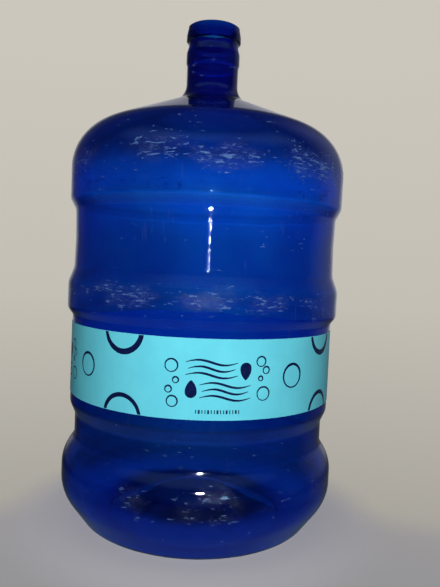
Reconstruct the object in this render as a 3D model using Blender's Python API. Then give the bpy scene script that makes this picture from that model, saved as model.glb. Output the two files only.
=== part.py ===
"""Empty five-gallon water bottle, blow-moulded in one piece, with a wrap-around film label.

Units are metres and +Z is up. The origin is the centre of the standing plane, so the bottle
stands on Z = 0 with its axis on Z. There are two separate pieces: the bottle shell, with its
neck and open mouth, and the label strip, whose end laps over its start at the back.
"""

from math import acos, atan2, ceil, cos, hypot, pi, radians, sin, tan

import bmesh
import bpy

MM = 0.001

# Driving dimensions.
HEIGHT = 495 * MM
BULGE_RADIUS = 136.8 * MM  # the widest ring, just above the base
PANEL_RADIUS = 130.4 * MM  # the straight walls: label panel and grip panel
RING_RADIUS = 135.6 * MM  # the middle hoop and the shoulder
WAIST_RADIUS = 125.4 * MM  # the groove between the bottom bulge and the label panel
NECK_RADIUS = 25.7 * MM
CROWN_RADIUS = 27.3 * MM  # the push-on cap's bead, 54.6 mm across
CROWN_HEIGHT = 15 * MM
BORE_RADIUS = 23 * MM
MOUTH_RADIUS = 24.9 * MM  # the outer edge of the flat sealing face
PUSH_UP = 17 * MM  # how far the middle of the base is raised
PUSH_UP_RADIUS = 44 * MM
STANDING_INNER, STANDING_OUTER = 88 * MM, 112.5 * MM  # the ring that the bottle stands on

WALL = 1.4 * MM  # the blown walls
FLOOR_WALL = 2.2 * MM  # the thicker gate area in the middle of the base

# Heights of the rings and panels above the standing plane.
BULGE_LOW, BULGE_HIGH = 33.4 * MM, 66.5 * MM
WAIST_LOW, WAIST_HIGH = 84 * MM, 107.5 * MM
LABEL_PANEL_LOW, LABEL_PANEL_HIGH = 119 * MM, 204.5 * MM
HOOP_LOW, HOOP_HIGH = 211.5 * MM, 236.5 * MM
GRIP_PANEL_LOW, GRIP_PANEL_HIGH = 250.5 * MM, 306.5 * MM
SHOULDER_LOW, SHOULDER_HIGH = 316.5 * MM, 381 * MM
NECK_LOW = 425 * MM

# The label: a printed film strip, drawn thicker than the real 0.06 mm film.
LABEL_LOW, LABEL_HIGH = 129.4 * MM, 197.7 * MM
LABEL_THICKNESS = 0.3 * MM
LABEL_GAP = 0.3 * MM  # between the shell and the film
LAP_GAP = 0.1 * MM  # between the two layers of the lap
LAP_STEPS = 2  # the lap's length, in turning steps

TURN_STEPS = 48  # facets round the axis
OUTER_CHORD_ERROR = 0.3 * MM  # how far a facet of a rounded corner may cut inside its arc
INNER_CHORD_ERROR = 0.7 * MM
STEP_ANGLE = 2 * pi / TURN_STEPS
SHARP_ANGLE = radians(35)
MERGE_DISTANCE = 1e-6


def clear_scene():
    for existing in list(bpy.data.objects):
        bpy.data.objects.remove(existing, do_unlink=True)


def plastic(name, colour, roughness, transmission):
    material = bpy.data.materials.new(name)
    material.use_nodes = True
    shader = material.node_tree.nodes["Principled BSDF"]
    shader.inputs["Base Color"].default_value = (*colour, 1)
    shader.inputs["Roughness"].default_value = roughness
    shader.inputs["Metallic"].default_value = 0
    shader.inputs["Transmission Weight"].default_value = transmission
    return material


def unit(start, end):
    """Direction from start to end in the (radius, height) plane, and their distance."""
    dr, dz = end[0] - start[0], end[1] - start[1]
    length = hypot(dr, dz)
    return dr / length, dz / length, length


def rounded(corners, chord_error):
    """Points of an outline through corners (radius, height, fillet), each fillet as an arc."""
    points = [corners[0][:2]]
    for before, corner, after in zip(corners, corners[1:], corners[2:]):
        r, z, fillet = corner
        ar, az, _ = unit(corner, before)
        br, bz, _ = unit(corner, after)
        opening = acos(max(-1.0, min(1.0, ar * br + az * bz)))
        if fillet == 0 or pi - opening < radians(1):
            points.append((r, z))
            continue
        reach = fillet / tan(opening / 2)
        mid_r, mid_z, _ = unit((0, 0), (ar + br, az + bz))
        centre_r = r + mid_r * fillet / sin(opening / 2)
        centre_z = z + mid_z * fillet / sin(opening / 2)
        first = atan2(z + az * reach - centre_z, r + ar * reach - centre_r)
        last = atan2(z + bz * reach - centre_z, r + br * reach - centre_r)
        turn = (last - first + pi) % (2 * pi) - pi
        facet_turn = 2 * acos(max(0.5, 1 - chord_error / fillet))
        pieces = ceil(abs(turn) / facet_turn)
        for i in range(pieces + 1):
            angle = first + turn * i / pieces
            points.append((centre_r + fillet * cos(angle), centre_z + fillet * sin(angle)))
    points.append(corners[-1][:2])
    return points


def inset(corners, wall):
    """Corners moved in by the wall along an outline that runs upwards, fillets kept concentric."""
    moved = []
    for before, corner, after in zip(corners, corners[1:], corners[2:]):
        ar, az, _ = unit(before, corner)
        br, bz, _ = unit(corner, after)
        share = wall / (1 + ar * br + az * bz)
        turns_left = ar * bz - az * br > 0
        fillet = corner[2] - wall if turns_left else corner[2] + wall
        moved.append(
            (corner[0] - (az + bz) * share, corner[1] + (ar + br) * share, max(fillet, 0))
        )
    return moved


def body_corners():
    """The body's outside from the standing ring up to the neck."""
    return [
        (STANDING_OUTER, 0, 14 * MM),
        (BULGE_RADIUS, BULGE_LOW, 38 * MM),
        (BULGE_RADIUS, BULGE_HIGH, 32 * MM),
        (WAIST_RADIUS, WAIST_LOW, 14 * MM),
        (WAIST_RADIUS, WAIST_HIGH, 10 * MM),
        (PANEL_RADIUS, LABEL_PANEL_LOW, 10 * MM),
        (PANEL_RADIUS, LABEL_PANEL_HIGH, 5 * MM),
        (RING_RADIUS, HOOP_LOW, 8 * MM),
        (RING_RADIUS, HOOP_HIGH, 14 * MM),
        (PANEL_RADIUS, GRIP_PANEL_LOW, 12 * MM),
        (PANEL_RADIUS, GRIP_PANEL_HIGH, 6 * MM),
        (RING_RADIUS, SHOULDER_LOW, 12 * MM),
        (RING_RADIUS, SHOULDER_HIGH, 50 * MM),
        (73 * MM, 406 * MM, 300 * MM),
        (NECK_RADIUS, NECK_LOW, 14 * MM),
    ]


def neck_corners():
    """The neck's outside: a shallow swelling, an undercut, and the crown under the mouth."""
    swelling_radius = NECK_RADIUS + 1 * MM
    undercut_radius = NECK_RADIUS - 0.8 * MM
    crown_low = HEIGHT - CROWN_HEIGHT
    return [
        (NECK_RADIUS, crown_low - 29 * MM, 0),
        (swelling_radius, crown_low - 23 * MM, 0),
        (swelling_radius, crown_low - 11 * MM, 6 * MM),
        (undercut_radius, crown_low - 4.5 * MM, 0),
        (undercut_radius, crown_low, 0),
        (CROWN_RADIUS, crown_low + 2 * MM, 0),
        (CROWN_RADIUS, crown_low + 5.5 * MM, 3 * MM),
        (MOUTH_RADIUS, HEIGHT, 0.8 * MM),
    ]


def floor_corners(height, wall_inset):
    """One side of the base, from the axis out to the inner edge of the standing ring."""
    return [
        (0, height + PUSH_UP, 0),
        (PUSH_UP_RADIUS, height + PUSH_UP, 18 * MM),
        (STANDING_INNER - wall_inset, height, 6 * MM),
    ]


def shell_outline():
    """The turned section, from the cavity's floor up and over the mouth, then down to the axis."""
    outside = body_corners()
    up_the_neck = (NECK_RADIUS, HEIGHT, 0)
    cavity = inset([(STANDING_INNER, 0, 0), *outside, up_the_neck], WALL)
    neck_foot = (BORE_RADIUS, *cavity[-1][1:])
    lip = (BORE_RADIUS, HEIGHT, 0)
    inside = [*floor_corners(FLOOR_WALL, FLOOR_WALL / 2), *cavity[:-1], neck_foot, lip]
    over_and_down = [lip, *[*outside, *neck_corners()][::-1], *floor_corners(0, 0)[::-1]]
    return [*rounded(inside, INNER_CHORD_ERROR)[:-1], *rounded(over_and_down, OUTER_CHORD_ERROR)]


def bottle_shell(material):
    mesh = bpy.data.meshes.new("bottle_shell")
    outline = shell_outline()
    edges = [(i, i + 1) for i in range(len(outline) - 1)]
    mesh.from_pydata([(r, 0, z) for r, z in outline], edges, [])
    mesh.materials.append(material)
    shell = bpy.data.objects.new("bottle_shell", mesh)
    bpy.context.scene.collection.objects.link(shell)
    screw = shell.modifiers.new("turned", "SCREW")
    screw.axis = "Z"
    screw.steps = screw.render_steps = TURN_STEPS
    screw.use_merge_vertices = True
    screw.merge_threshold = MERGE_DISTANCE
    screw.use_smooth_shade = True
    return shell


def wrap_label(material):
    """A strip once round the label panel, whose last steps rise over its start at the back."""
    inner = PANEL_RADIUS + LABEL_GAP
    rise = LABEL_THICKNESS + LAP_GAP
    mesh = bpy.data.meshes.new("wrap_label")
    shape = bmesh.new()
    sections = []
    for step in range(TURN_STEPS + LAP_STEPS + 1):
        # The strip climbs by one layer on the step before it reaches its own start.
        radius = inner if step < TURN_STEPS else inner + rise
        angle = pi / 2 + step * STEP_ANGLE
        section = []
        for r, z in (
            (radius, LABEL_LOW),
            (radius + LABEL_THICKNESS, LABEL_LOW),
            (radius + LABEL_THICKNESS, LABEL_HIGH),
            (radius, LABEL_HIGH),
        ):
            section.append(shape.verts.new((r * cos(angle), r * sin(angle), z)))
        sections.append(section)
    for here, there in zip(sections, sections[1:]):
        for i in range(4):
            j = (i + 1) % 4
            shape.faces.new((here[i], there[i], there[j], here[j]))
    shape.faces.new(sections[0])
    shape.faces.new(sections[-1][::-1])
    bmesh.ops.recalc_face_normals(shape, faces=shape.faces)
    shape.to_mesh(mesh)
    shape.free()
    mesh.shade_smooth()
    mesh.set_sharp_from_angle(angle=SHARP_ANGLE)
    mesh.materials.append(material)
    label = bpy.data.objects.new("wrap_label", mesh)
    bpy.context.scene.collection.objects.link(label)
    return label


def main():
    clear_scene()
    bottle_shell(plastic("blue_tinted_plastic", (0.01, 0.12, 0.6), 0.08, 0.9))
    wrap_label(plastic("cyan_label_film", (0.13, 0.77, 0.93), 0.3, 0.0))


main()
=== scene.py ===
"""Looks of the water jug: a scuffed, see-through blue bottle with a printed film label.

Everything is in metres, in the frame's own axes. The bottle's height and girth and the label's
band come from the CAD nodes' boxes, and the profile repeats the CAD design at a finer mesh.
"""

from math import acos, atan2, ceil, cos, exp, hypot, pi, radians, sin, tan

import bmesh
import bpy
from mathutils import Matrix, Vector, noise


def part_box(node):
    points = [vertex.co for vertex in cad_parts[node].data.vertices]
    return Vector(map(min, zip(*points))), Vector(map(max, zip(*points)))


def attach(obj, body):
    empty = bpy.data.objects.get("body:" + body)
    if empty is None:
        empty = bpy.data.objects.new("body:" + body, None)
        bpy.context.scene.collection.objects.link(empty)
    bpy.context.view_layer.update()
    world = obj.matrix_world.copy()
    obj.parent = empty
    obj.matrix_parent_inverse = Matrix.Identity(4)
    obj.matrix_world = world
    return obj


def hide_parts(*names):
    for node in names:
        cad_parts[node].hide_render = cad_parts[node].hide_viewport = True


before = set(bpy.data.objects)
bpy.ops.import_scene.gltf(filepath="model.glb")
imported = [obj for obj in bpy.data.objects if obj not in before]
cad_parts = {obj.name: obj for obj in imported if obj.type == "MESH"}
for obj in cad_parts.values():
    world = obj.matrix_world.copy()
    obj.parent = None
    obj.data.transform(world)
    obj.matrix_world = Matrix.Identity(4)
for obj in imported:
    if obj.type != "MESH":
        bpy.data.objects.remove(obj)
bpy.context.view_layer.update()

MM = 0.001

shell_low, shell_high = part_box("bottle_shell")
label_low, label_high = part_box("wrap_label")
HEIGHT = shell_high.z - shell_low.z
BULGE_RADIUS = (shell_high.x - shell_low.x) / 2
LABEL_LOW, LABEL_HIGH = label_low.z, label_high.z

# The bottle's design, as in the CAD model.
PANEL_RADIUS = 130.4 * MM
RING_RADIUS = 135.6 * MM
WAIST_RADIUS = 125.4 * MM
NECK_RADIUS = 25.7 * MM
CROWN_RADIUS = 27.3 * MM
CROWN_HEIGHT = 15 * MM
BORE_RADIUS = 23 * MM
MOUTH_RADIUS = 24.9 * MM
SWELLING = 1 * MM  # how far the neck swells out below the crown
UNDERCUT = 0.8 * MM  # how far the neck draws in under the crown
PUSH_UP = 17 * MM  # how far the middle of the base is raised
PUSH_UP_RADIUS = 44 * MM
STANDING_INNER, STANDING_OUTER = 88 * MM, 112.5 * MM  # the ring that the bottle stands on
WALL = 1.4 * MM
FLOOR_WALL = 2.2 * MM

BULGE_LOW, BULGE_HIGH = 33.4 * MM, 66.5 * MM
WAIST_LOW, WAIST_HIGH = 84 * MM, 107.5 * MM
LABEL_PANEL_LOW, LABEL_PANEL_HIGH = 119 * MM, 204.5 * MM
HOOP_LOW, HOOP_HIGH = 211.5 * MM, 236.5 * MM
GRIP_PANEL_LOW, GRIP_PANEL_HIGH = 250.5 * MM, 306.5 * MM
SHOULDER_LOW, SHOULDER_HIGH = 316.5 * MM, 381 * MM
NECK_LOW = 425 * MM
CROWN_LOW = HEIGHT - CROWN_HEIGHT

# Finer shapes than the CAD model holds.
GRIP_BOW, GRIP_BOW_FILLET = 1.5 * MM, 460 * MM  # the grip panel's outline dips in its middle
CROWN_STEPS = ((6.2, 0.4), (8.6, 0.5), (11, 0.5))  # height over the crown's foot, and size, in mm
CROWN_STEP_FILLET = 0.3 * MM
GATE_RADIUS, GATE_HEIGHT = 4.5 * MM, 1.2 * MM  # the preform's gate under the base
SEAM_HEIGHT, SEAM_HALF_WIDTH = 0.15 * MM, 0.7 * MM  # the mould's parting line, at +X and -X
WAVINESS, WAVES_PER_METRE = 0.16 * MM, 22  # slow unevenness of the blown walls
TURN_STEPS = 240
ARC_STEP = radians(5)
LONGEST_EDGE = 4.5 * MM
SHARP_ANGLE = radians(40)

# Where such bottles rub in racks and crates: height, half width and strength.
WEAR_BANDS = ((347 * MM, 15 * MM, 1), (230 * MM, 11 * MM, 1), (55 * MM, 17 * MM, 0.62))

# The label: a film strip round the label panel, its end lapped over its start at +Y.
FILM_GAP = 0.25 * MM
FILM_THICKNESS = 0.12 * MM
FILM_INNER = PANEL_RADIUS + FILM_GAP
FILM_OUTER = FILM_INNER + FILM_THICKNESS
LAP_ANGLE = radians(15)
LAP_CLIMB = radians(2.5)
LAP_RISE = 0.2 * MM
FILM_STEP = radians(0.75)
FILM_ROWS = 12
EDGE_WANDER = 0.12 * MM  # how far the strip's cut edges stray

# The label's print.
INK_THICKNESS = 0.03 * MM
INK_SUNK = 0.03 * MM  # the part of the ink's solid that lies inside the film
INK_MARGIN = 0.4 * MM  # unprinted film along both edges
REPEAT_ANGLE = radians(88.5)
BUBBLES = (  # beside the sign: across, up and radius, in mm
    (-40, 11, 6.0), (-36, -1, 3.1), (-42, -9, 3.4), (-38.5, -19, 5.2),
    (40, -12, 6.4), (37, 1, 2.6), (42, 8, 3.6), (37, 15.5, 4.8),
)


# ---------------------------------------------------------------- outlines

def unit(start, end):
    """Direction from start to end in the (radius, height) plane, and their distance."""
    dr, dz = end[0] - start[0], end[1] - start[1]
    length = hypot(dr, dz)
    return dr / length, dz / length, length


def rounded(corners):
    """Points of an outline through corners (radius, height, fillet), each fillet as an arc."""
    points = [corners[0][:2]]
    for before, corner, after in zip(corners, corners[1:], corners[2:]):
        r, z, fillet = corner
        ar, az, _ = unit(corner, before)
        br, bz, _ = unit(corner, after)
        opening = acos(max(-1.0, min(1.0, ar * br + az * bz)))
        if fillet == 0 or pi - opening < radians(1):
            points.append((r, z))
            continue
        reach = fillet / tan(opening / 2)
        mid_r, mid_z, _ = unit((0, 0), (ar + br, az + bz))
        centre_r = r + mid_r * fillet / sin(opening / 2)
        centre_z = z + mid_z * fillet / sin(opening / 2)
        first = atan2(z + az * reach - centre_z, r + ar * reach - centre_r)
        last = atan2(z + bz * reach - centre_z, r + br * reach - centre_r)
        turn = (last - first + pi) % (2 * pi) - pi
        pieces = max(2, ceil(abs(turn) / ARC_STEP))
        for i in range(pieces + 1):
            angle = first + turn * i / pieces
            points.append((centre_r + fillet * cos(angle), centre_z + fillet * sin(angle)))
    points.append(corners[-1][:2])
    return points


def inset(corners, wall):
    """Corners moved in by the wall along an outline that runs upwards, fillets kept concentric."""
    moved = []
    for before, corner, after in zip(corners, corners[1:], corners[2:]):
        ar, az, _ = unit(before, corner)
        br, bz, _ = unit(corner, after)
        share = wall / (1 + ar * br + az * bz)
        turns_left = ar * bz - az * br > 0
        fillet = corner[2] - wall if turns_left else corner[2] + wall
        moved.append(
            (corner[0] - (az + bz) * share, corner[1] + (ar + br) * share, max(fillet, 0))
        )
    return moved


def subdivided(points, longest):
    """The same outline with no stretch longer than the given length."""
    finer = [points[0]]
    for start, end in zip(points, points[1:]):
        pieces = max(1, ceil(hypot(end[0] - start[0], end[1] - start[1]) / longest))
        for i in range(1, pieces + 1):
            share = i / pieces
            finer.append(
                (start[0] + (end[0] - start[0]) * share, start[1] + (end[1] - start[1]) * share)
            )
    return finer


def body_corners():
    """The body's outside from the standing ring up to the neck."""
    grip_middle = (GRIP_PANEL_LOW + GRIP_PANEL_HIGH) / 2
    return [
        (STANDING_OUTER, 0, 14 * MM),
        (BULGE_RADIUS, BULGE_LOW, 38 * MM),
        (BULGE_RADIUS, BULGE_HIGH, 32 * MM),
        (WAIST_RADIUS, WAIST_LOW, 14 * MM),
        (WAIST_RADIUS, WAIST_HIGH, 10 * MM),
        (PANEL_RADIUS, LABEL_PANEL_LOW, 10 * MM),
        (PANEL_RADIUS, LABEL_PANEL_HIGH, 5 * MM),
        (RING_RADIUS, HOOP_LOW, 8 * MM),
        (RING_RADIUS, HOOP_HIGH, 14 * MM),
        (PANEL_RADIUS, GRIP_PANEL_LOW, 12 * MM),
        (PANEL_RADIUS - GRIP_BOW, grip_middle, GRIP_BOW_FILLET),
        (PANEL_RADIUS, GRIP_PANEL_HIGH, 6 * MM),
        (RING_RADIUS, SHOULDER_LOW, 12 * MM),
        (RING_RADIUS, SHOULDER_HIGH, 50 * MM),
        (73 * MM, 406 * MM, 300 * MM),
        (NECK_RADIUS, NECK_LOW, 20 * MM),
    ]


def neck_corners():
    """The neck's outside: a shallow swelling, an undercut, and the crown, stepped near its top."""
    swelling_radius = NECK_RADIUS + SWELLING
    undercut_radius = NECK_RADIUS - UNDERCUT
    corners = [
        # The middle corner keeps the chamfer under the swelling straight between its fillets.
        (NECK_RADIUS, CROWN_LOW - 24.3 * MM, 1.5 * MM),
        ((NECK_RADIUS + swelling_radius) / 2, CROWN_LOW - 22.67 * MM, 0),
        (swelling_radius, CROWN_LOW - 21.03 * MM, 1.5 * MM),
        (swelling_radius, CROWN_LOW - 11 * MM, 6 * MM),
        (undercut_radius, CROWN_LOW - 4.5 * MM, 4 * MM),
        (undercut_radius, CROWN_LOW - 0.2 * MM, 0.4 * MM),
        (CROWN_RADIUS, CROWN_LOW + 0.8 * MM, 0.6 * MM),
    ]
    radius = CROWN_RADIUS
    for up, step in CROWN_STEPS:
        corners.append((radius, CROWN_LOW + up * MM, CROWN_STEP_FILLET))
        radius -= step * MM
        corners.append((radius, CROWN_LOW + (up + step) * MM, CROWN_STEP_FILLET))
    corners.append((radius, HEIGHT - 0.7 * MM, 0.4 * MM))
    corners.append((MOUTH_RADIUS, HEIGHT, 0.3 * MM))
    return corners


def floor_corners(height, wall_inset):
    """One side of the base, from the axis out to the inner edge of the standing ring."""
    return [
        (0, height + PUSH_UP, 0),
        (PUSH_UP_RADIUS, height + PUSH_UP, 18 * MM),
        (STANDING_INNER - wall_inset, height, 6 * MM),
    ]


def shell_outlines():
    """The cavity's outline from the base up into the bore, and the rest, down to the axis."""
    outside = body_corners()
    up_the_neck = (NECK_RADIUS, HEIGHT, 0)
    cavity = inset([(STANDING_INNER, 0, 0), *outside, up_the_neck], WALL)
    neck_foot = (BORE_RADIUS, *cavity[-1][1:])
    bore = [  # follows the neck's swelling
        (BORE_RADIUS, CROWN_LOW - 26 * MM, 3 * MM),
        (BORE_RADIUS + SWELLING, CROWN_LOW - 22 * MM, 3 * MM),
        (BORE_RADIUS + SWELLING, CROWN_LOW - 11 * MM, 6 * MM),
        (BORE_RADIUS, CROWN_LOW - 4 * MM, 4 * MM),
    ]
    bore_top = (BORE_RADIUS, HEIGHT - 6 * MM, 0)
    lip = (BORE_RADIUS, HEIGHT, 0.3 * MM)
    gate = [
        (GATE_RADIUS, PUSH_UP, 0.5 * MM),
        (GATE_RADIUS - 1 * MM, PUSH_UP - GATE_HEIGHT, 0.5 * MM),
        (0, PUSH_UP - GATE_HEIGHT, 0),
    ]
    inside = [*floor_corners(FLOOR_WALL, FLOOR_WALL / 2), *cavity[:-1], neck_foot, *bore, bore_top]
    over_and_down = [*outside, *neck_corners()][::-1]
    underside = [*floor_corners(0, 0)[:0:-1], *gate]
    return [
        subdivided(rounded(corners), LONGEST_EDGE)
        for corners in (inside, [bore_top, lip, *over_and_down, *underside])
    ]


# ---------------------------------------------------------------- meshes

def add_object(name, shape, material):
    """A new smooth-shaded object from a bmesh, which is freed."""
    mesh = bpy.data.meshes.new(name)
    shape.to_mesh(mesh)
    shape.free()
    mesh.shade_smooth()
    mesh.set_sharp_from_angle(angle=SHARP_ANGLE)
    mesh.materials.append(material)
    piece = bpy.data.objects.new(name, mesh)
    bpy.context.scene.collection.objects.link(piece)
    return piece


def clamped(value):
    """The value, held between 0 and 1."""
    return min(1, max(0, value))


def bump(value, centre, half_width):
    """A smooth hill of height 1 over centre."""
    return exp(-((value - centre) / half_width) ** 2)


def wall_waviness(r, angle, z, side):
    """Slow unevenness of a blown wall, faded out at the neck and the standing ring."""
    fade = clamped((r - 45 * MM) / (40 * MM)) * clamped(z / (25 * MM))
    place = Vector((r * cos(angle), r * sin(angle), z)) * WAVES_PER_METRE
    place += Vector((0, 0, 50 * side))  # other waves on the inside than on the outside
    return fade * WAVINESS * (noise.noise(place) + 0.25 * noise.noise(place * 3.1))


def corner_thinning_and_painted_highlight(z, angle):
    """How much thinner the blown wall is behind two outward corners, most at -Y and none behind:
    the lighter line this leaves on the front is partly a painted highlight.
    """
    shoulder = 0.4 * bump(z, SHOULDER_LOW - 1 * MM, 4.5 * MM)
    hoop = 0.25 * bump(z, HOOP_HIGH + 1 * MM, 5 * MM)
    return (shoulder + hoop) * MM * max(0, -sin(angle))


def parting_line(angle, r):
    """The ridge that the mould's two halves leave at +X and -X."""
    off_plane = abs(sin(angle)) * r
    return SEAM_HEIGHT * max(0, 1 - off_plane / SEAM_HALF_WIDTH)


def turning_angles():
    """Even steps round the axis, with finer ones across the two parting lines."""
    angles = [2 * pi * k / TURN_STEPS for k in range(TURN_STEPS)]
    fine = SEAM_HALF_WIDTH / RING_RADIUS
    for middle in (0, pi):
        angles += [(middle + fine * share) % (2 * pi) for share in (-1, -0.5, 0.5, 1)]
    return sorted(angles)


def wear(z):
    """How scuffed the outside is at a height."""
    return max(strength * bump(z, height, half) for height, half, strength in WEAR_BANDS)


def make_bottle(material):
    """The turned shell: one closed surface, with its wear stored as -1 on the inside."""
    inside, outside = shell_outlines()
    outline = inside[:-1] + outside
    shape = bmesh.new()
    wear_layer = shape.verts.layers.float.new("wear")
    ends = [shape.verts.new((0, 0, outline[end][1])) for end in (0, -1)]
    columns = []
    for angle in turning_angles():
        column = [ends[0]]
        for i in range(1, len(outline) - 1):
            r, z = outline[i]
            is_outside = i >= len(inside)
            grown = r + wall_waviness(r, angle, z, is_outside)
            if is_outside and 2 * MM < z < CROWN_LOW and r > NECK_RADIUS * 0.9:
                grown += parting_line(angle, r)
            # Thinner wall at the two corners, on the front only: partly a painted highlight
            # through the lighter dye.
            if not is_outside and r > RING_RADIUS * 0.9:
                grown += corner_thinning_and_painted_highlight(z, angle)
            grown = min(grown, BULGE_RADIUS)
            vert = shape.verts.new((grown * cos(angle), grown * sin(angle), z))
            vert[wear_layer] = wear(z) if is_outside else -1
            column.append(vert)
        column.append(ends[1])
        columns.append(column)
    for vert in ends:
        vert[wear_layer] = -1
    for here, there in zip(columns, columns[1:] + columns[:1]):
        for i in range(len(outline) - 1):
            corners = [here[i], there[i], there[i + 1], here[i + 1]]
            shape.faces.new(list(dict.fromkeys(corners)))
    bmesh.ops.recalc_face_normals(shape, faces=shape.faces)
    return add_object("bottle", shape, material)


def film_radius(turn, inner):
    """The strip's radius along its length: it climbs onto its own start before a full turn."""
    climbed = clamped((turn - (2 * pi - LAP_CLIMB)) / LAP_CLIMB)
    eased = climbed * climbed * (3 - 2 * climbed)
    return inner + LAP_RISE * eased


def make_label(material):
    """A thin closed strip once round the panel and on over its own start at +Y."""
    shape = bmesh.new()
    steps = ceil((2 * pi + LAP_ANGLE) / FILM_STEP)
    sections = []
    for step in range(steps + 1):
        turn = (2 * pi + LAP_ANGLE) * step / steps
        angle = pi / 2 + turn
        low = LABEL_LOW + EDGE_WANDER * abs(noise.noise(Vector((turn * 6, 0, 3))))
        high = LABEL_HIGH - EDGE_WANDER * abs(noise.noise(Vector((turn * 6, 9, 3))))
        heights = [low + (high - low) * k / FILM_ROWS for k in range(FILM_ROWS + 1)]
        section = []
        for thickness, order in ((FILM_THICKNESS, heights), (0, heights[::-1])):
            r = film_radius(turn, FILM_INNER) + thickness
            section += [shape.verts.new((r * cos(angle), r * sin(angle), z)) for z in order]
        sections.append(section)
    count = len(sections[0])
    for here, there in zip(sections, sections[1:]):
        for i in range(count):
            j = (i + 1) % count
            shape.faces.new((here[i], there[i], there[j], here[j]))
    shape.faces.new(sections[0])
    shape.faces.new(sections[-1][::-1])
    bmesh.ops.recalc_face_normals(shape, faces=shape.faces)
    return add_object("label", shape, material)


# ---------------------------------------------------------------- the label's print

def clipped(tile, limit, keep_below):
    """A flat tile cut along a level line, keeping the side below or above it."""
    side = 1 if keep_below else -1
    kept = []
    for (s0, z0), (s1, z1) in zip(tile, tile[1:] + tile[:1]):
        in0, in1 = side * (limit - z0) >= 0, side * (limit - z1) >= 0
        if in0:
            kept.append((s0, z0))
        if in0 != in1:
            share = (limit - z0) / (z1 - z0)
            kept.append((s0 + (s1 - s0) * share, limit))
    return kept


def ring_tiles(centre, radius, thin, thick, thick_way):
    """A ring drawn with a broad pen: its stroke swells from thin to thick on one side."""
    steps = max(24, int(radius / (0.35 * MM)))  # 2.2 mm each on the larger rings
    inner = radius - (thin + thick) / 2
    shift = (thick - thin) / 2
    tiles = []
    for k in range(steps):
        corners = []
        for step, on_inner in ((k, False), (k + 1, False), (k + 1, True), (k, True)):
            angle = 2 * pi * step / steps
            r, off = (inner, shift) if on_inner else (radius, 0)
            corners.append((
                centre[0] + r * cos(angle) - off * cos(thick_way),
                centre[1] + r * sin(angle) - off * sin(thick_way),
            ))
        tiles.append(corners)
    return tiles


def wave_tiles(centre, length, height, pen, flip):
    """A wave line of a single period, tapering to both ends."""
    steps = int(length / (0.8 * MM))
    sides = []
    for k in range(steps + 1):
        share = k / steps
        s = length * (share - 0.5)
        z = height / 2 * sin(2 * pi * share)
        half = pen / 2 * (0.25 + 0.75 * sin(pi * share))
        sides.append(((centre[0] + flip * s, centre[1] + flip * (z - half)),
                      (centre[0] + flip * s, centre[1] + flip * (z + half))))
    return [[a0, a1, b1, b0] for (a0, b0), (a1, b1) in zip(sides, sides[1:])]


def drop_tiles(centre, radius, height, flip):
    """A filled water drop: round below, drawn to a point above, or the reverse when flipped."""
    rows, columns = 16, 8
    levels = []
    for k in range(rows + 1):
        share = k / rows
        angle = pi * share
        width = radius * sin(angle) * (1 - share) ** 0.55 * 1.35
        z = -radius + height * (1 - cos(angle)) / 2
        levels.append([
            (centre[0] + flip * width * (2 * c / columns - 1), centre[1] + flip * z)
            for c in range(columns + 1)
        ])
    tiles = []
    for low, high in zip(levels, levels[1:]):
        for c in range(columns):
            tiles.append([low[c], low[c + 1], high[c + 1], high[c]])
    return tiles


def bar_tiles(centre, width, height):
    """A small upright bar."""
    s0, s1 = centre[0] - width / 2, centre[0] + width / 2
    z0, z1 = centre[1] - height / 2, centre[1] + height / 2
    return [[(s0, z0), (s1, z0), (s1, z1), (s0, z1)]]


def on_film(s, z, lift):
    """A point of the flat artwork, wrapped on the label with s = 0 at -Y and s growing to +X."""
    angle = s / FILM_OUTER - pi / 2
    turn = (angle - pi / 2) % (2 * pi)
    r = film_radius(turn, FILM_OUTER) + lift
    return r * cos(angle), r * sin(angle), z


def make_print(shapes, material):
    """Every printed shape as its own thin closed solid, half sunk in the film."""
    everything = bmesh.new()
    for tiles in shapes:
        flat = bmesh.new()
        for tile in tiles:
            tile = clipped(tile, LABEL_HIGH - INK_MARGIN, True)
            tile = clipped(tile, LABEL_LOW + INK_MARGIN, False) if tile else tile
            if len(tile) > 2:
                flat.faces.new([flat.verts.new((s, z, 0)) for s, z in tile])
        bmesh.ops.remove_doubles(flat, verts=flat.verts, dist=0.002 * MM)
        bmesh.ops.dissolve_degenerate(flat, edges=flat.edges, dist=0.002 * MM)
        bmesh.ops.recalc_face_normals(flat, faces=flat.faces)
        grown = bmesh.ops.extrude_face_region(flat, geom=flat.faces[:])
        for vert in grown["geom"]:
            if isinstance(vert, bmesh.types.BMVert):
                vert.co.z = 1
        copies = {}
        for vert in flat.verts:
            lift = INK_THICKNESS if vert.co.z > 0.5 else -INK_SUNK
            copies[vert] = everything.verts.new(on_film(vert.co.x, vert.co.y, lift))
        for face in flat.faces:
            everything.faces.new([copies[vert] for vert in face.verts])
        flat.free()
    bmesh.ops.recalc_face_normals(everything, faces=everything.faces)
    return add_object("label_print", everything, material)


def artwork():
    """Rings along the whole strip, and the sign at the front and towards both sides."""
    degree = FILM_OUTER * radians(1)
    middle = (LABEL_LOW + LABEL_HIGH) / 2
    shapes = []
    for repeat in (-1, 0, 1, 2):
        start = repeat * REPEAT_ANGLE * FILM_OUTER
        cut_ring = start - 30.5 * degree
        shapes.append(ring_tiles((cut_ring, LABEL_HIGH + 2.0 * MM), 20.5 * MM,
                                 2.3 * MM, 5.2 * MM, radians(-65)))
        shapes.append(ring_tiles((cut_ring, LABEL_LOW - 3.0 * MM), 20.2 * MM,
                                 2.2 * MM, 4.0 * MM, radians(100)))
        shapes.append(ring_tiles((start - 50.4 * degree, middle + 1.5 * MM), 11.2 * MM,
                                 1.3 * MM, 2.4 * MM, radians(80)))
    for repeat in (-1, 0, 1):
        shapes += sign(repeat * REPEAT_ANGLE * FILM_OUTER + 7 * degree, middle)
    return shapes


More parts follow.
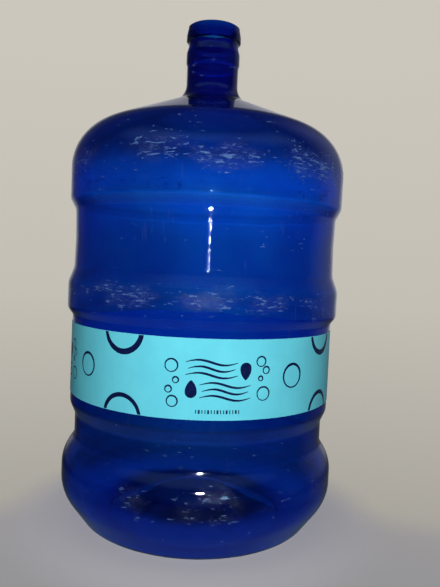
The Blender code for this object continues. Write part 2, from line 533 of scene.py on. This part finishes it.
def sign(s, z):
    """The printed sign: drop and waves, upright and upside down, bubbles and a row of bars."""
    shapes = []
    for flip, level in ((1, z - 10.5 * MM), (-1, z + 9.5 * MM)):
        shapes.append(drop_tiles((s - flip * 23 * MM, level), 5.2 * MM, 15 * MM, flip))
        for k, length in enumerate((44, 40, 44)):
            centre = (s + flip * 6 * MM, level + flip * (k - 0.9) * 5.4 * MM)
            shapes.append(wave_tiles(centre, length * MM, 4.2 * MM, 2.1 * MM, flip))
    for off, up, radius in BUBBLES:
        shapes.append(ring_tiles((s + off * MM, z + up * MM), radius * MM,
                                 0.9 * MM, 1.5 * MM, radians(70)))
    for k in range(15):
        width = (0.8, 1.6, 0.8)[k % 3] * MM
        shapes.append(bar_tiles((s + (k - 7) * 2.6 * MM, LABEL_LOW + 7.2 * MM), width, 3.2 * MM))
    return shapes


# ---------------------------------------------------------------- materials

class Tree:
    """A short way to write a material's nodes."""

    def __init__(self, name):
        self.material = bpy.data.materials.new(name)
        self.material.use_nodes = True
        self.nodes = self.material.node_tree.nodes
        self.links = self.material.node_tree.links
        self.shader = self.nodes["Principled BSDF"]
        self.output = self.nodes["Material Output"]

    def node(self, kind, **settings):
        made = self.nodes.new(kind)
        for key, value in settings.items():
            setattr(made, key, value)
        return made

    def put(self, value, socket):
        """Links a socket, or sets a plain value."""
        if isinstance(value, bpy.types.NodeSocket):
            self.links.new(value, socket)
        else:
            socket.default_value = value

    def maths(self, operation, a, b=0.0):
        """A sum, product or the like. The second number is spare where one is enough."""
        made = self.node("ShaderNodeMath", operation=operation)
        self.put(a, made.inputs[0])
        self.put(b, made.inputs[1])
        return made.outputs[0]

    def ramp(self, value, low, high, to_low=0.0, to_high=1.0):
        """Eases from to_low to to_high as the value goes from low to high."""
        made = self.node("ShaderNodeMapRange", interpolation_type="SMOOTHSTEP")
        for socket, number in zip(made.inputs, (value, low, high, to_low, to_high)):
            self.put(number, socket)
        return made.outputs[0]

    def linear(self, value, at_zero, at_one):
        """A straight line through at_zero and at_one, not held at either end."""
        made = self.node("ShaderNodeMath", operation="MULTIPLY_ADD")
        for socket, number in zip(made.inputs, (value, at_one - at_zero, at_zero)):
            self.put(number, socket)
        return made.outputs[0]

    def place(self, across, up):
        """Object position scaled by one number across the bottle's axis and one along it."""
        coordinates = self.node("ShaderNodeTexCoord")
        scaled = self.node("ShaderNodeVectorMath", operation="MULTIPLY")
        self.put(coordinates.outputs["Object"], scaled.inputs[0])
        scaled.inputs[1].default_value = (across, across, up)
        return scaled.outputs[0]

    def noise(self, across, up, detail=2.0, roughness=0.5):
        """Noise with so many cells a metre across the axis and along it."""
        made = self.node("ShaderNodeTexNoise")
        self.put(self.place(across, up), made.inputs["Vector"])
        made.inputs["Scale"].default_value = 1
        made.inputs["Detail"].default_value = detail
        made.inputs["Roughness"].default_value = roughness
        return made.outputs["Fac"]

    def colour_mix(self, share, colour_a, colour_b):
        made = self.node("ShaderNodeMix", data_type="RGBA")
        self.put(share, made.inputs["Factor"])
        self.put((*colour_a, 1), made.inputs["A"])
        self.put((*colour_b, 1), made.inputs["B"])
        return made.outputs["Result"]

    def bumps(self, height, distance):
        """Relief on the shader, one unit of height being the given distance."""
        made = self.node("ShaderNodeBump")
        made.inputs["Distance"].default_value = distance
        self.put(height, made.inputs["Height"])
        self.put(made.outputs["Normal"], self.shader.inputs["Normal"])


def scuffs(t):
    """0 on clean plastic, 1 on a rubbed fleck. The wear stored on the mesh says where."""
    stored = t.node("ShaderNodeAttribute", attribute_name="wear").outputs["Fac"]
    outside = t.ramp(stored, -0.6, -0.2)
    worn_here = t.maths("ADD", stored, t.ramp(t.noise(23, 40, 3), 0.3, 0.7, -0.6, 0.4))
    # Short level strokes, denser where it is more worn.
    level = t.maths("MULTIPLY", t.maths("SUBTRACT", 1, worn_here), 0.13)
    raised = t.maths("SUBTRACT", t.noise(95, 440, 4, 0.72), level)
    strokes = t.ramp(raised, 0.548, 0.61, 0, 1)
    # Thin curls, along the middle level of a noise.
    from_middle = t.maths("ABSOLUTE", t.maths("SUBTRACT", t.noise(95, 190, 3, 0.7), 0.5))
    curl_lines = t.ramp(from_middle, 0.002, 0.014, 1, 0)
    curls = t.maths("MULTIPLY", curl_lines, t.ramp(worn_here, 0.6, 1.1, 0, 0.6))
    haze = t.ramp(worn_here, 0.3, 1.2, 0, 0.03)
    # Single specks and faint upright hairlines, over the whole outside.
    cells = t.node("ShaderNodeTexVoronoi", feature="F1")
    t.put(t.place(52, 52), cells.inputs["Vector"])
    cells.inputs["Scale"].default_value = 1
    specks = t.ramp(cells.outputs["Distance"], 0.02, 0.045, 0.9, 0)
    upright = t.ramp(t.noise(900, 22, 2, 0.7), 0.64, 0.72, 0, 0.12)
    hairlines = t.maths("MULTIPLY", upright, t.ramp(t.noise(24, 22, 2), 0.5, 0.62))
    worn = haze
    for mark in (strokes, curls, specks, hairlines):
        worn = t.maths("MAXIMUM", worn, mark)
    return t.maths("MULTIPLY", worn, outside)


def blue_plastic():
    """Polycarbonate: its dye takes light by depth, and its outside is scuffed in bands."""
    t = Tree("blue_tinted_plastic")
    s = t.shader.inputs
    worn = scuffs(t)
    t.put(t.colour_mix(t.ramp(worn, 0, 0.4), (1, 1, 1), (0.32, 0.62, 1)), s["Base Color"])
    s["Specular Tint"].default_value = (0.75, 0.88, 1, 1)
    t.put(t.linear(worn, 0.03, 0.4), s["Roughness"])
    t.put(t.linear(worn, 1, 0.77), s["Transmission Weight"])
    t.put(t.linear(worn, 0.25, 0.65), s["Specular IOR Level"])
    s["IOR"].default_value = 1.58
    # Faint draw lines up the wall, and relief on the scuffs.
    drawn = t.maths("MULTIPLY", t.noise(240, 7, 3, 0.6), 9)
    t.bumps(t.maths("ADD", drawn, t.maths("MULTIPLY", worn, 4)), 0.005 * MM)
    # The dye absorbs density * (1 - colour) a metre.
    dye = t.node("ShaderNodeVolumeAbsorption")
    dye.inputs["Color"].default_value = (0, 0.583, 0.921, 1)
    dye.inputs["Density"].default_value = 2400
    t.put(dye.outputs[0], t.output.inputs["Volume"])
    return t.material


def label_film():
    """Cyan film: a faint mottle, uneven gloss and fine ripples."""
    t = Tree("cyan_label_film")
    s = t.shader.inputs
    mottle = t.ramp(t.noise(35, 35, 4, 0.6), 0.3, 0.7)
    t.put(t.colour_mix(mottle, (0.15, 0.74, 0.91), (0.165, 0.8, 0.955)), s["Base Color"])
    t.put(t.ramp(t.noise(90, 25, 3), 0.3, 0.7, 0.32, 0.46), s["Roughness"])
    t.bumps(t.noise(420, 60, 2), 0.01 * MM)
    return t.material


def navy_ink():
    """Printing ink, a little patchy in colour and gloss."""
    t = Tree("navy_ink")
    s = t.shader.inputs
    patchy = t.ramp(t.noise(500, 500, 3), 0.35, 0.7)
    t.put(t.colour_mix(patchy, (0.003, 0.008, 0.06), (0.006, 0.014, 0.085)), s["Base Color"])
    t.put(t.ramp(patchy, 0, 1, 0.3, 0.45), s["Roughness"])
    return t.material


def floor_material():
    """A pale floor with a painted shadow under the bottle; it fades out into the studio's air away
    from it.
    """
    t = Tree("studio_floor")
    s = t.shader.inputs
    s["Roughness"].default_value = 0.8
    place = t.node("ShaderNodeTexCoord").outputs["Object"]
    from_axis = t.node("ShaderNodeVectorMath", operation="LENGTH")
    t.put(place, from_axis.inputs[0])
    # The dark patch is a painted shadow under the bottle, and lies a little towards +Y, where the
    # photo's floor is darkest.
    from_painted_shadow = t.node("ShaderNodeVectorMath", operation="DISTANCE")
    t.put(place, from_painted_shadow.inputs[0])
    from_painted_shadow.inputs[1].default_value = (0, 0.045, 0)
    out_of_painted_shadow = t.ramp(from_painted_shadow.outputs["Value"], 0.07, 0.1, 0.18, 1)
    t.put(t.colour_mix(out_of_painted_shadow, (0, 0, 0), (0.5, 0.49, 0.52)), s["Base Color"])
    clear = t.node("ShaderNodeBsdfTransparent")
    mix = t.node("ShaderNodeMixShader")
    t.put(t.ramp(from_axis.outputs["Value"], 0.14, 0.21), mix.inputs[0])
    t.put(t.shader.outputs[0], mix.inputs[1])
    t.put(clear.outputs[0], mix.inputs[2])
    t.put(mix.outputs[0], t.output.inputs["Surface"])
    return t.material


# ---------------------------------------------------------------- stage, light and camera

FLOOR_DROP = 0.2 * MM  # a hair under the standing ring
FLOOR_RADII = (0.2, 0.4, 0.8)
FLOOR_SIDES = 64

FLASH_PLACE = (0.036, -0.64, 0.29)  # just above and to the right of the camera
FLASH_COLOUR = (0.85, 0.93, 1)
GLINT_SPREAD = 4.5  # degrees: narrow enough to reach one bend of the profile and little else

CAMERA_DISTANCE = 0.634
CAMERA_HEIGHT = 0.2625
CAMERA_PITCH = radians(-3.08)
CAMERA_YAW = radians(1.56)
CAMERA_ROLL = radians(2.5)
FOCAL_LENGTH = 37.7


def make_stage():
    """A round floor, which its material fades out towards the rim."""
    shape = bmesh.new()
    angles = [2 * pi * k / FLOOR_SIDES for k in range(FLOOR_SIDES)]
    rings = [
        [shape.verts.new((radius * cos(a), radius * sin(a), -FLOOR_DROP)) for a in angles]
        for radius in FLOOR_RADII
    ]
    shape.faces.new(rings[0])
    for inner, outer in zip(rings, rings[1:]):
        for k in range(FLOOR_SIDES):
            j = (k + 1) % FLOOR_SIDES
            shape.faces.new((inner[k], outer[k], outer[j], inner[j]))
    floor = add_object("studio_floor", shape, floor_material())
    floor.visible_glossy = False
    return floor


def area_light(name, place, target, size, watts, colour=(1, 1, 1), spread=180, tall=None):
    """An oval lamp that faces target. Its cone is in degrees, and it is round without tall."""
    data = bpy.data.lights.new(name, "AREA")
    data.shape = "ELLIPSE"
    data.size = size
    data.size_y = tall or size
    data.energy = watts
    data.color = colour
    data.spread = radians(spread)
    lamp = bpy.data.objects.new(name, data)
    lamp.location = place
    lamp.rotation_euler = (Vector(target) - Vector(place)).to_track_quat("-Z", "Y").to_euler()
    lamp.visible_camera = False
    bpy.context.scene.collection.objects.link(lamp)
    return lamp


def make_air():
    """The studio's air: a pale backdrop for the camera, dimmer as light, through the bottle and
    in its gloss. Its colours follow the direction of view, by the ramps below."""
    world = bpy.data.worlds.new("studio_air")
    world.use_nodes = True
    nodes, links = world.node_tree.nodes, world.node_tree.links
    direction = nodes.new("ShaderNodeSeparateXYZ")
    links.new(nodes.new("ShaderNodeTexCoord").outputs["Generated"], direction.inputs[0])

    def ramp(axis, stops):
        """Colours or greys along one axis of the direction, from -1 to 1."""
        made = nodes.new("ShaderNodeValToRGB")
        elements = made.color_ramp.elements
        while len(elements) < len(stops):
            elements.new(0.5)
        for element, (height, colour) in zip(elements, stops):
            rgb = colour if isinstance(colour, tuple) else (colour,) * 3
            element.position = (height + 1) / 2
            element.color = (*rgb, 1)
        half = nodes.new("ShaderNodeMapRange")
        half.inputs["From Min"].default_value = -1
        links.new(direction.outputs[axis], half.inputs["Value"])
        links.new(half.outputs[0], made.inputs[0])
        return made.outputs["Color"]

    def mix(share, a, b, blend="MIX"):
        made = nodes.new("ShaderNodeMix")
        made.data_type = "RGBA"
        made.blend_type = blend
        made.clamp_result = False
        for value, name in ((share, "Factor"), (a, "A"), (b, "B")):
            if isinstance(value, bpy.types.NodeSocket):
                links.new(value, made.inputs[name])
            else:
                made.inputs[name].default_value = value
        return made.outputs["Result"]

    def times(*colours):
        product = colours[0]
        for colour in colours[1:]:
            product = mix(1, product, colour, "MULTIPLY")
        return product

    backdrop = ramp("Z", [
        (-0.44, (0.3, 0.295, 0.305)), (-0.39, (0.32, 0.31, 0.315)), (-0.36, (0.4, 0.38, 0.34)),
        (-0.06, (0.545, 0.52, 0.46)), (0.31, (0.6, 0.57, 0.505)),
    ])
    # Seen through the bottle, the backdrop is brightest straight behind it, a little way up.
    through = times(
        backdrop,
        ramp("X", [
            (-0.75, 1.5), (-0.45, 0.46), (-0.2, 0.5), (-0.09, 0.66), (-0.03, 0.97), (0.06, 1.0),
            (0.13, 0.86), (0.2, 0.6), (0.3, 0.5), (0.45, 0.5), (0.75, 1.5),
        ]),
        ramp("Z", [
            (-0.6, 0.4), (-0.42, 0.14), (-0.34, 0.11), (-0.26, 0.21), (-0.1, 0.27),
            (-0.03, 0.3), (0.03, 0.31), (0.06, 0.4), (0.11, 0.56), (0.15, 0.4),
            (0.19, 0.17), (0.23, 0.11), (0.4, 0.2), (0.8, 0.18),
        ]),
        ramp("Y", [
            (-0.96, 1.0), (-0.85, 0.6), (-0.3, 0.45), (0.2, 0.45), (0.85, 0.6), (0.96, 1.0),
        ]),
        (4, 4.3, 4, 1),
    )
    # In the gloss, the room behind the camera is dim and the wall behind the bottle is bright.
    room = times(
        ramp("Y", [
            (-0.8, (0.012, 0.016, 0.03)), (0.55, (0.02, 0.025, 0.04)),
            (0.8, (0.06, 0.07, 0.09)), (0.95, (0.5, 0.5, 0.55)),
        ]),
        ramp("Z", [(-0.5, 0.15), (-0.2, 0.25), (-0.1, 1.0), (0.4, 1.0)]),
    )
    # Ceiling light over the camera, mirrored in the parts that lean back.
    overhead = times(
        ramp("Z", [(0.5, 0.0), (0.66, 1.0), (0.72, 1.0), (0.86, 0.0)]),
        ramp("Y", [(-0.2, 1.0), (0.1, 0.0)]),
        (0.13, 0.22, 0.45, 1),
    )
    # A pale wall beyond +X, mirrored along the bottle's right edge.
    beside = times(
        ramp("X", [(0.3, 0.0), (0.55, 0.17)]),
        ramp("Y", [(0.15, 0.0), (0.5, 1.0)]),
        ramp("Z", [(-0.2, 0.3), (0.0, 1.0)]),
        (0.8, 0.85, 1, 1),
    )
    # The floor's own light, mirrored in the parts that lean forward.
    below = times(ramp("Z", [(-0.75, 0.14), (-0.5, 0.1), (-0.25, 0.0)]), (0.5, 0.8, 1, 1))
    mirrored = room
    for light in (overhead, beside, below):
        mirrored = mix(1, mirrored, light, "ADD")
    path = nodes.new("ShaderNodeLightPath")
    ambient = (0.08, 0.08, 0.08, 1)
    air = mix(path.outputs["Is Glossy Ray"], ambient, mirrored)
    air = mix(path.outputs["Is Transmission Ray"], air, through)
    air = mix(path.outputs["Is Camera Ray"], air, backdrop)
    links.new(air, nodes["Background"].inputs["Color"])
    bpy.context.scene.world = world


def make_lights():
    """Soft light from above, a lamp in front, one behind, and the flash beside the camera."""
    # Most of the ceiling's light casts no shadow, and so reaches the floor through the bottle.
    for name, watts, casts_shadow in (("ceiling", 3.2, True), ("ceiling_fill", 6.9, False)):
        ceiling = area_light(name, (0, -0.2, 2.0), (0, 0, 0.2), 1.6, watts)
        ceiling.visible_glossy = False
        ceiling.data.use_shadow = casts_shadow
    # These two light the label, scuffs and floor, and are not seen in or through the plastic.
    for name, place, size, watts in (
        ("key", (0.02, -0.74, 0.38), 0.14, 3.8),
        ("back", (-0.25, 0.8, 0.5), 0.3, 3.0),
    ):
        lamp = area_light(name, place, (0, 0, 0.2), size, watts)
        lamp.visible_glossy = False
        lamp.visible_transmission = False
        lamp.data.use_shadow = False
    # The flash, tall and thin, makes the streak on the grip panel, with a weak glare beside it.
    ahead = (0, 0, 0.25)
    area_light("flash", FLASH_PLACE, ahead, 0.003, 0.03, FLASH_COLOUR, tall=0.03)
    area_light("flash_glare", (0.03, -0.65, 0.288), ahead, 0.02, 0.003, (0.8, 0.9, 1), tall=0.04)
    # The flash again, once for each bend of the profile that mirrors it.
    for name, target, width, tall, watts in (
        ("neck", (0, -NECK_RADIUS, 0.4575), 0.014, 0.014, 0.02),
        ("shoulder", (0, -RING_RADIUS, 0.318), 0.014, 0.014, 0.006),
        ("hoop", (0, -RING_RADIUS, 0.235), 0.014, 0.014, 0.006),
        ("bulge", (0, -0.132, 0.0755), 0.12, 0.012, 0.03),
    ):
        area_light(
            "flash_on_" + name, FLASH_PLACE, target, width, watts, FLASH_COLOUR, GLINT_SPREAD, tall
        )


def make_camera():
    """The photo's view: a little above the bottle's middle, slightly pitched down and rolled."""
    data = bpy.data.cameras.new("photo_view")
    data.lens = FOCAL_LENGTH
    data.sensor_width = 36
    camera = bpy.data.objects.new("photo_view", data)
    bpy.context.scene.collection.objects.link(camera)
    level_ahead = Vector((sin(CAMERA_YAW), cos(CAMERA_YAW), 0))
    forward = level_ahead * cos(CAMERA_PITCH) + Vector((0, 0, sin(CAMERA_PITCH)))
    level_right = Vector((cos(CAMERA_YAW), -sin(CAMERA_YAW), 0))
    level_up = level_right.cross(forward)
    right = level_right * cos(CAMERA_ROLL) + level_up * sin(CAMERA_ROLL)
    up = level_up * cos(CAMERA_ROLL) - level_right * sin(CAMERA_ROLL)
    turn = Matrix((right, up, -forward)).transposed().to_4x4()
    camera.matrix_world = Matrix.Translation((0, -CAMERA_DISTANCE, CAMERA_HEIGHT)) @ turn
    bpy.context.scene.camera = camera


make_camera()
make_air()
make_lights()
make_stage()

bottle = make_bottle(blue_plastic())
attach(bottle, "root")
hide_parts("bottle_shell")

label = make_label(label_film())
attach(label, "root")
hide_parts("wrap_label")

ink = make_print(artwork(), navy_ink())
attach(ink, "root")

bpy.context.scene.view_settings.view_transform = "Standard"
